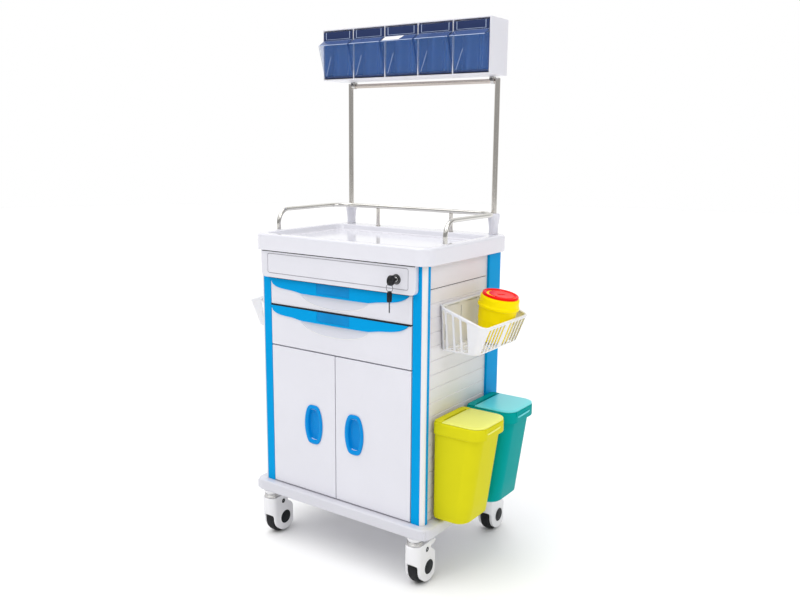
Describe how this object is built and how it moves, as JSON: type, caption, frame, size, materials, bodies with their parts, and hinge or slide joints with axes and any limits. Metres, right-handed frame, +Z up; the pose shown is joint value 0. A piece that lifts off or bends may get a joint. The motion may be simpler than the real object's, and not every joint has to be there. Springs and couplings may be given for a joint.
{
  "type": "ward treatment trolley",
  "caption": "Mobile ward treatment trolley with drawers, a two-door cupboard, a railed top, a raised rack of tilt bins, side baskets, a sharps container and flap-lid waste bins.",
  "frame": {"origin": "on the floor, under the middle of the whole footprint (the cabinet's own centre line is 10 mm behind it)", "axes": "+Z up, the drawer fronts face -Y, +X is the side with the lock, the sharps container and the waste bins"},
  "size_m": [0.889, 0.5497, 1.567],
  "materials": {
    "body_white": "cool white ABS, satin gloss",
    "tray_white": "white ABS, fine matt grain",
    "body_blue": "azure blue ABS, satin",
    "stainless_tube": "drawn stainless tube, brushed along its length",
    "runner_steel": "bright zinc-plated steel",
    "key_black": "black moulded key bow",
    "key_steel": "split ring and key blank with a dark bow",
    "bin_blue": "translucent blue polystyrene",
    "tyre": "dark grey rubber tread on a nylon wheel",
    "sharps_yellow": "yellow polypropylene",
    "sharps_red": "red polypropylene",
    "waste_lime": "lime yellow polypropylene, fine grain",
    "waste_teal": "teal polypropylene, fine grain"
  },
  "bodies": {
    "cabinet": {"base_plate": "body_white", "top_deck": "body_white", "post_front_left": "body_blue", "post_front_right": "body_blue", "post_rear_left": "body_blue", "post_rear_right": "body_blue", "side_panel_left": "body_white", "side_panel_right": "body_white", "back_panel": "body_white", "drawer_floor": "body_white", "cupboard_shelf": "body_white", "drawer_runner_left": "runner_steel", "drawer_runner_right": "runner_steel", "guard_rail": "stainless_tube", "rack_socket_left": "body_white", "rack_socket_right": "body_white", "rack_frame": "stainless_tube", "rack_housing": "body_white", "castor_stem_front_left": "runner_steel", "castor_stem_front_right": "runner_steel", "castor_stem_rear_left": "runner_steel", "castor_stem_rear_right": "runner_steel", "side_basket_left": "tray_white", "side_basket_right": "tray_white", "waste_bin_front": "waste_lime", "waste_bin_rear": "waste_teal"},
    "top_drawer": {"top_drawer_front": "body_white", "top_drawer_tray": "tray_white", "lock_barrel": "runner_steel"},
    "middle_drawer": {"middle_drawer_front": "body_white", "middle_drawer_grip": "body_blue", "middle_drawer_tray": "tray_white"},
    "lower_drawer": {"lower_drawer_front": "body_white", "lower_drawer_grip": "body_blue", "lower_drawer_tray": "tray_white"},
    "lock_key_body": {"lock_key": "key_black"},
    "key_ring_body": {"spare_key_ring": "key_steel"},
    "left_door": {"door_left": "body_white", "door_handle_left": "body_blue"},
    "right_door": {"door_right": "body_white", "door_handle_right": "body_blue"},
    "sharps": {"sharps_container": "sharps_yellow"},
    "sharps_cap": {"sharps_lid": "sharps_red"},
    "front_flap": {"waste_flap_front": "waste_lime"},
    "rear_flap": {"waste_flap_rear": "waste_teal"},
    "tilt_bin_1_body": {"tilt_bin_1": "bin_blue"},
    "tilt_bin_2_body": {"tilt_bin_2": "bin_blue"},
    "tilt_bin_3_body": {"tilt_bin_3": "bin_blue"},
    "tilt_bin_4_body": {"tilt_bin_4": "bin_blue"},
    "tilt_bin_5_body": {"tilt_bin_5": "bin_blue"},
    "castor_front_left": {"castor_housing_front_left": "body_white"},
    "wheel_front_left": {"castor_wheel_front_left": "tyre"},
    "brake_left": {"brake_pedal_left": "body_white"},
    "castor_front_right": {"castor_housing_front_right": "body_white"},
    "wheel_front_right": {"castor_wheel_front_right": "tyre"},
    "brake_right": {"brake_pedal_right": "body_white"},
    "castor_rear_left": {"castor_housing_rear_left": "body_white"},
    "wheel_rear_left": {"castor_wheel_rear_left": "tyre"},
    "castor_rear_right": {"castor_housing_rear_right": "body_white"},
    "wheel_rear_right": {"castor_wheel_rear_right": "tyre"}
  },
  "joints": [
    {"name": "top_drawer_slide", "type": "slide", "parent": "cabinet", "child": "top_drawer", "axis": [0, -1, 0], "range_m": [0, 0.3]},
    {"name": "middle_drawer_slide", "type": "slide", "parent": "cabinet", "child": "middle_drawer", "axis": [0, -1, 0], "range_m": [0, 0.3]},
    {"name": "lower_drawer_slide", "type": "slide", "parent": "cabinet", "child": "lower_drawer", "axis": [0, -1, 0], "range_m": [0, 0.3]},
    {"name": "lock_turn", "type": "hinge", "parent": "top_drawer", "child": "lock_key_body", "pos_m": [0.213, -0.2305, 0.868], "axis": [0, -1, 0], "range_deg": [0, 90]},
    {"name": "key_ring_swing", "type": "hinge", "parent": "lock_key_body", "child": "key_ring_body", "pos_m": [0.213, -0.2615, 0.859], "axis": [1, 0, 0], "range_deg": [-60, 8]},
    {"name": "left_door_hinge", "type": "hinge", "parent": "cabinet", "child": "left_door", "pos_m": [-0.25, -0.213, 0.4], "axis": [0, 0, -1], "range_deg": [0, 105]},
    {"name": "right_door_hinge", "type": "hinge", "parent": "cabinet", "child": "right_door", "pos_m": [0.25, -0.213, 0.4], "axis": [0, 0, 1], "range_deg": [0, 105]},
    {"name": "tilt_bin_1_hinge", "type": "hinge", "parent": "cabinet", "child": "tilt_bin_1_body", "pos_m": [-0.2388, 0.0965, 1.4275], "axis": [1, 0, 0], "range_deg": [0, 38]},
    {"name": "tilt_bin_2_hinge", "type": "hinge", "parent": "cabinet", "child": "tilt_bin_2_body", "pos_m": [-0.1194, 0.0965, 1.4275], "axis": [1, 0, 0], "range_deg": [0, 38]},
    {"name": "tilt_bin_3_hinge", "type": "hinge", "parent": "cabinet", "child": "tilt_bin_3_body", "pos_m": [0, 0.0965, 1.4275], "axis": [1, 0, 0], "range_deg": [0, 38]},
    {"name": "tilt_bin_4_hinge", "type": "hinge", "parent": "cabinet", "child": "tilt_bin_4_body", "pos_m": [0.1194, 0.0965, 1.4275], "axis": [1, 0, 0], "range_deg": [0, 38]},
    {"name": "tilt_bin_5_hinge", "type": "hinge", "parent": "cabinet", "child": "tilt_bin_5_body", "pos_m": [0.2388, 0.0965, 1.4275], "axis": [1, 0, 0], "range_deg": [0, 38]},
    {"name": "swivel_front_left", "type": "hinge", "parent": "cabinet", "child": "castor_front_left", "pos_m": [-0.272, -0.216, 0.1255], "axis": [0, 0, 1], "continuous": true},
    {"name": "roll_front_left", "type": "hinge", "parent": "castor_front_left", "child": "wheel_front_left", "pos_m": [-0.272, -0.182, 0.05], "axis": [1, 0, 0], "continuous": true},
    {"name": "brake_left_pivot", "type": "hinge", "parent": "castor_front_left", "child": "brake_left", "pos_m": [-0.272, -0.1705, 0.112], "axis": [-1, 0, 0], "range_deg": [0, 15]},
    {"name": "swivel_front_right", "type": "hinge", "parent": "cabinet", "child": "castor_front_right", "pos_m": [0.272, -0.216, 0.1255], "axis": [0, 0, 1], "continuous": true},
    {"name": "roll_front_right", "type": "hinge", "parent": "castor_front_right", "child": "wheel_front_right", "pos_m": [0.272, -0.182, 0.05], "axis": [1, 0, 0], "continuous": true},
    {"name": "brake_right_pivot", "type": "hinge", "parent": "castor_front_right", "child": "brake_right", "pos_m": [0.272, -0.1705, 0.112], "axis": [-1, 0, 0], "range_deg": [0, 15]},
    {"name": "swivel_rear_left", "type": "hinge", "parent": "cabinet", "child": "castor_rear_left", "pos_m": [-0.272, 0.195, 0.1255], "axis": [0, 0, 1], "continuous": true},
    {"name": "roll_rear_left", "type": "hinge", "parent": "castor_rear_left", "child": "wheel_rear_left", "pos_m": [-0.272, 0.229, 0.05], "axis": [1, 0, 0], "continuous": true},
    {"name": "swivel_rear_right", "type": "hinge", "parent": "cabinet", "child": "castor_rear_right", "pos_m": [0.272, 0.195, 0.1255], "axis": [0, 0, 1], "continuous": true},
    {"name": "roll_rear_right", "type": "hinge", "parent": "castor_rear_right", "child": "wheel_rear_right", "pos_m": [0.272, 0.229, 0.05], "axis": [1, 0, 0], "continuous": true},
    {"name": "sharps_lift", "type": "slide", "parent": "cabinet", "child": "sharps", "axis": [0.1736, 0, 0.9848], "range_m": [0, 0.2]},
    {"name": "sharps_cap_twist", "type": "hinge", "parent": "sharps", "child": "sharps_cap", "pos_m": [0.38263, 0.035, 0.80382], "axis": [0.1736, 0, 0.9848], "range_deg": [0, 90]},
    {"name": "front_flap_hinge", "type": "hinge", "parent": "cabinet", "child": "front_flap", "pos_m": [0.326, -0.095, 0.479], "axis": [0, -1, 0], "range_deg": [0, 80]},
    {"name": "rear_flap_hinge", "type": "hinge", "parent": "cabinet", "child": "rear_flap", "pos_m": [0.326, 0.081, 0.479], "axis": [0, -1, 0], "range_deg": [0, 80]}
  ]
}
